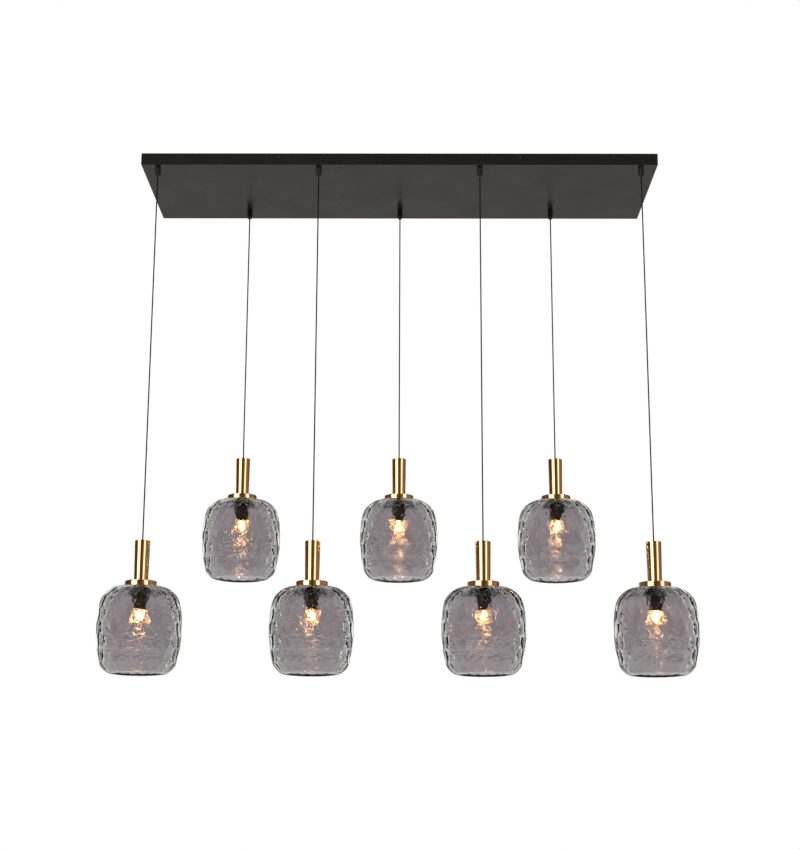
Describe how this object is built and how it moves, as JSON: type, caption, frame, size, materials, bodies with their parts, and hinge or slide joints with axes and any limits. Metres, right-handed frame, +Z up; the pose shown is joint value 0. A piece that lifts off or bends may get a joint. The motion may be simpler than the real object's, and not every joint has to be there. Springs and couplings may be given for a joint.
{
  "type": "cluster pendant",
  "caption": "Long black ceiling canopy with dimpled smoke-glass pendants on thin cables in two rows, each with a brass cap and stem and a small round bulb.",
  "frame": {"origin": "on the ceiling plane, in the middle of the four ceiling screw holes of the two brackets", "axes": "+Z up into the ceiling, X along the canopy, -Y towards the front row of pendants"},
  "size_m": [1.418, 0.5, 1.3],
  "materials": {
    "black_paint": "satin powder coat",
    "zinc_steel": "zinc plated",
    "black_screw": "satin",
    "black_grip": "fine satin",
    "black_cable": "smooth",
    "white_block": "moulded",
    "brass": "satin brushed",
    "smoke_glass": "dimpled, clear",
    "black_holder": "moulded",
    "lit_bulb": "opal"
  },
  "bodies": {
    "canopy": {"canopy_pan": "black_paint", "ceiling_bracket_left": "zinc_steel", "ceiling_bracket_right": "zinc_steel", "side_screws": "black_screw", "cord_grips": "black_grip", "grip_nuts": "zinc_steel", "clamp_screws": "zinc_steel", "canopy_leads": "black_cable", "terminal_block": "white_block", "terminal_screws": "zinc_steel", "earth_terminal": "zinc_steel"},
    "cable_bend_1": {"cable_bend_1": "black_cable"},
    "cable_1": {"cable_1": "black_cable"},
    "head_1": {"stem_1": "brass", "cap_1": "brass", "shade_1": "smoke_glass", "lampholder_1": "black_holder", "bulb_1": "lit_bulb"},
    "cable_bend_2": {"cable_bend_2": "black_cable"},
    "cable_2": {"cable_2": "black_cable"},
    "head_2": {"stem_2": "brass", "cap_2": "brass", "shade_2": "smoke_glass", "lampholder_2": "black_holder", "bulb_2": "lit_bulb"},
    "cable_bend_3": {"cable_bend_3": "black_cable"},
    "cable_3": {"cable_3": "black_cable"},
    "head_3": {"stem_3": "brass", "cap_3": "brass", "shade_3": "smoke_glass", "lampholder_3": "black_holder", "bulb_3": "lit_bulb"},
    "cable_bend_4": {"cable_bend_4": "black_cable"},
    "cable_4": {"cable_4": "black_cable"},
    "head_4": {"stem_4": "brass", "cap_4": "brass", "shade_4": "smoke_glass", "lampholder_4": "black_holder", "bulb_4": "lit_bulb"},
    "cable_bend_5": {"cable_bend_5": "black_cable"},
    "cable_5": {"cable_5": "black_cable"},
    "head_5": {"stem_5": "brass", "cap_5": "brass", "shade_5": "smoke_glass", "lampholder_5": "black_holder", "bulb_5": "lit_bulb"},
    "cable_bend_6": {"cable_bend_6": "black_cable"},
    "cable_6": {"cable_6": "black_cable"},
    "head_6": {"stem_6": "brass", "cap_6": "brass", "shade_6": "smoke_glass", "lampholder_6": "black_holder", "bulb_6": "lit_bulb"},
    "cable_bend_7": {"cable_bend_7": "black_cable"},
    "cable_7": {"cable_7": "black_cable"},
    "head_7": {"stem_7": "brass", "cap_7": "brass", "shade_7": "smoke_glass", "lampholder_7": "black_holder", "bulb_7": "lit_bulb"}
  },
  "joints": [
    {"name": "swing_side_1", "type": "hinge", "parent": "canopy", "child": "cable_bend_1", "pos_m": [-0.609, -0.175, -0.056], "axis": [0, 1, 0], "range_deg": [-10, 10]},
    {"name": "swing_front_1", "type": "hinge", "parent": "cable_bend_1", "child": "cable_1", "pos_m": [-0.609, -0.175, -0.056], "axis": [1, 0, 0], "range_deg": [-30, 30]},
    {"name": "height_1", "type": "slide", "parent": "cable_1", "child": "head_1", "axis": [0, 0, 1], "range_m": [0, 0.6], "deforming": ["cable_1"]},
    {"name": "swing_side_2", "type": "hinge", "parent": "canopy", "child": "cable_bend_2", "pos_m": [-0.406, 0.125, -0.056], "axis": [0, 1, 0], "range_deg": [-12, 12]},
    {"name": "swing_front_2", "type": "hinge", "parent": "cable_bend_2", "child": "cable_2", "pos_m": [-0.406, 0.125, -0.056], "axis": [1, 0, 0], "range_deg": [-30, 30]},
    {"name": "height_2", "type": "slide", "parent": "cable_2", "child": "head_2", "axis": [0, 0, 1], "range_m": [0, 0.4], "deforming": ["cable_2"]},
    {"name": "swing_side_3", "type": "hinge", "parent": "canopy", "child": "cable_bend_3", "pos_m": [-0.203, -0.175, -0.056], "axis": [0, 1, 0], "range_deg": [-10, 10]},
    {"name": "swing_front_3", "type": "hinge", "parent": "cable_bend_3", "child": "cable_3", "pos_m": [-0.203, -0.175, -0.056], "axis": [1, 0, 0], "range_deg": [-30, 30]},
    {"name": "height_3", "type": "slide", "parent": "cable_3", "child": "head_3", "axis": [0, 0, 1], "range_m": [0, 0.6], "deforming": ["cable_3"]},
    {"name": "swing_side_4", "type": "hinge", "parent": "canopy", "child": "cable_bend_4", "pos_m": [0, 0.125, -0.056], "axis": [0, 1, 0], "range_deg": [-12, 12]},
    {"name": "swing_front_4", "type": "hinge", "parent": "cable_bend_4", "child": "cable_4", "pos_m": [0, 0.125, -0.056], "axis": [1, 0, 0], "range_deg": [-30, 30]},
    {"name": "height_4", "type": "slide", "parent": "cable_4", "child": "head_4", "axis": [0, 0, 1], "range_m": [0, 0.4], "deforming": ["cable_4"]},
    {"name": "swing_side_5", "type": "hinge", "parent": "canopy", "child": "cable_bend_5", "pos_m": [0.203, -0.175, -0.056], "axis": [0, 1, 0], "range_deg": [-10, 10]},
    {"name": "swing_front_5", "type": "hinge", "parent": "cable_bend_5", "child": "cable_5", "pos_m": [0.203, -0.175, -0.056], "axis": [1, 0, 0], "range_deg": [-30, 30]},
    {"name": "height_5", "type": "slide", "parent": "cable_5", "child": "head_5", "axis": [0, 0, 1], "range_m": [0, 0.6], "deforming": ["cable_5"]},
    {"name": "swing_side_6", "type": "hinge", "parent": "canopy", "child": "cable_bend_6", "pos_m": [0.406, 0.125, -0.056], "axis": [0, 1, 0], "range_deg": [-12, 12]},
    {"name": "swing_front_6", "type": "hinge", "parent": "cable_bend_6", "child": "cable_6", "pos_m": [0.406, 0.125, -0.056], "axis": [1, 0, 0], "range_deg": [-30, 30]},
    {"name": "height_6", "type": "slide", "parent": "cable_6", "child": "head_6", "axis": [0, 0, 1], "range_m": [0, 0.4], "deforming": ["cable_6"]},
    {"name": "swing_side_7", "type": "hinge", "parent": "canopy", "child": "cable_bend_7", "pos_m": [0.609, -0.175, -0.056], "axis": [0, 1, 0], "range_deg": [-10, 10]},
    {"name": "swing_front_7", "type": "hinge", "parent": "cable_bend_7", "child": "cable_7", "pos_m": [0.609, -0.175, -0.056], "axis": [1, 0, 0], "range_deg": [-30, 30]},
    {"name": "height_7", "type": "slide", "parent": "cable_7", "child": "head_7", "axis": [0, 0, 1], "range_m": [0, 0.6], "deforming": ["cable_7"]}
  ]
}
